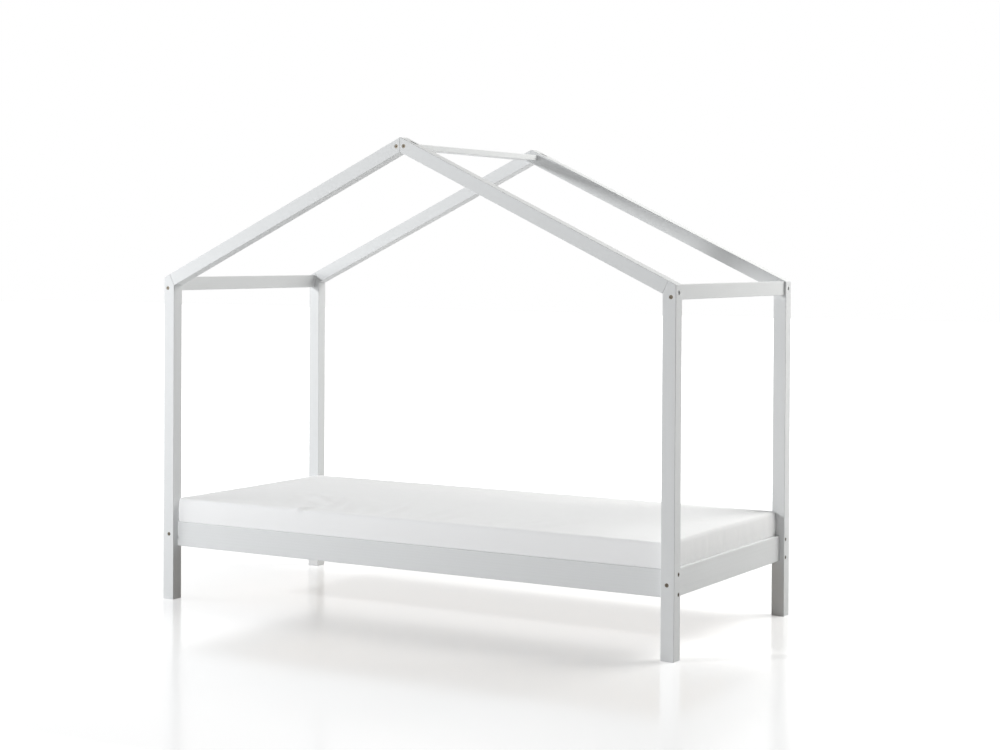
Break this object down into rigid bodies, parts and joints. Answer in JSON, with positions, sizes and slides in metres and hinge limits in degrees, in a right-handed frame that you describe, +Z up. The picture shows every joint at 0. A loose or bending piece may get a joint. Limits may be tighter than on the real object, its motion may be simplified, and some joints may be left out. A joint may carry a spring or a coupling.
{
  "type": "house frame bed",
  "caption": "Single bed with square posts, two gabled rafter frames joined by a ridge beam and eave beams, low rails, slats, and a mattress in a white fitted sheet.",
  "frame": {"origin": "on the floor, under the middle of the bed's footprint", "axes": "+X along the bed's length, +Y across its width from the front gable to the rear one, +Z up"},
  "size_m": [2.066, 0.972, 1.6788],
  "materials": {
    "white_lacquer": "white satin lacquer over planed softwood, eased edges",
    "slat_pine": "bare planed pine",
    "slat_tape": "woven cotton webbing",
    "yellow_zinc": "yellow zinc-plated steel, satin",
    "insert_brass": "plain turned brass",
    "dowel_beech": "bare fluted beech",
    "mattress_ticking": "knitted ticking over foam",
    "white_sheet": "white cotton jersey, matt"
  },
  "bodies": {
    "bed_frame": {"post_front_left": "white_lacquer", "post_front_right": "white_lacquer", "post_rear_left": "white_lacquer", "post_rear_right": "white_lacquer", "rafter_front_left": "white_lacquer", "rafter_front_right": "white_lacquer", "rafter_rear_left": "white_lacquer", "rafter_rear_right": "white_lacquer", "ridge_beam": "white_lacquer", "eave_beam_left": "white_lacquer", "eave_beam_right": "white_lacquer", "side_rail_front": "white_lacquer", "side_rail_rear": "white_lacquer", "end_rail_left": "white_lacquer", "end_rail_right": "white_lacquer", "slat_ledge_front": "white_lacquer", "slat_ledge_rear": "white_lacquer", "side_rail_bolts": "yellow_zinc", "end_rail_bolts": "yellow_zinc", "eave_beam_bolts": "yellow_zinc", "rafter_foot_bolts": "yellow_zinc", "ridge_beam_bolts": "yellow_zinc", "apex_bolts": "yellow_zinc", "side_rail_inserts": "insert_brass", "end_rail_inserts": "insert_brass", "eave_beam_inserts": "insert_brass", "rafter_foot_inserts": "insert_brass", "ridge_beam_inserts": "insert_brass", "apex_inserts": "insert_brass", "end_rail_dowels": "dowel_beech", "eave_beam_dowels": "dowel_beech", "rafter_foot_dowels": "dowel_beech", "apex_dowels": "dowel_beech", "ledge_screws": "yellow_zinc"},
    "slat_base": {"slat_01": "slat_pine", "slat_02": "slat_pine", "slat_03": "slat_pine", "slat_04": "slat_pine", "slat_05": "slat_pine", "slat_06": "slat_pine", "slat_07": "slat_pine", "slat_08": "slat_pine", "slat_09": "slat_pine", "slat_10": "slat_pine", "slat_11": "slat_pine", "slat_12": "slat_pine", "slat_13": "slat_pine", "slat_14": "slat_pine", "slat_tape_front": "slat_tape", "slat_tape_rear": "slat_tape"},
    "bedding": {"mattress": "mattress_ticking", "fitted_sheet": "white_sheet"}
  },
  "joints": [
    {"name": "slat_base_lift", "type": "slide", "parent": "bed_frame", "child": "slat_base", "axis": [0, 0, 1], "range_m": [0, 0.25]},
    {"name": "mattress_lift", "type": "slide", "parent": "slat_base", "child": "bedding", "axis": [0, 0, 1], "range_m": [0, 0.35]}
  ]
}
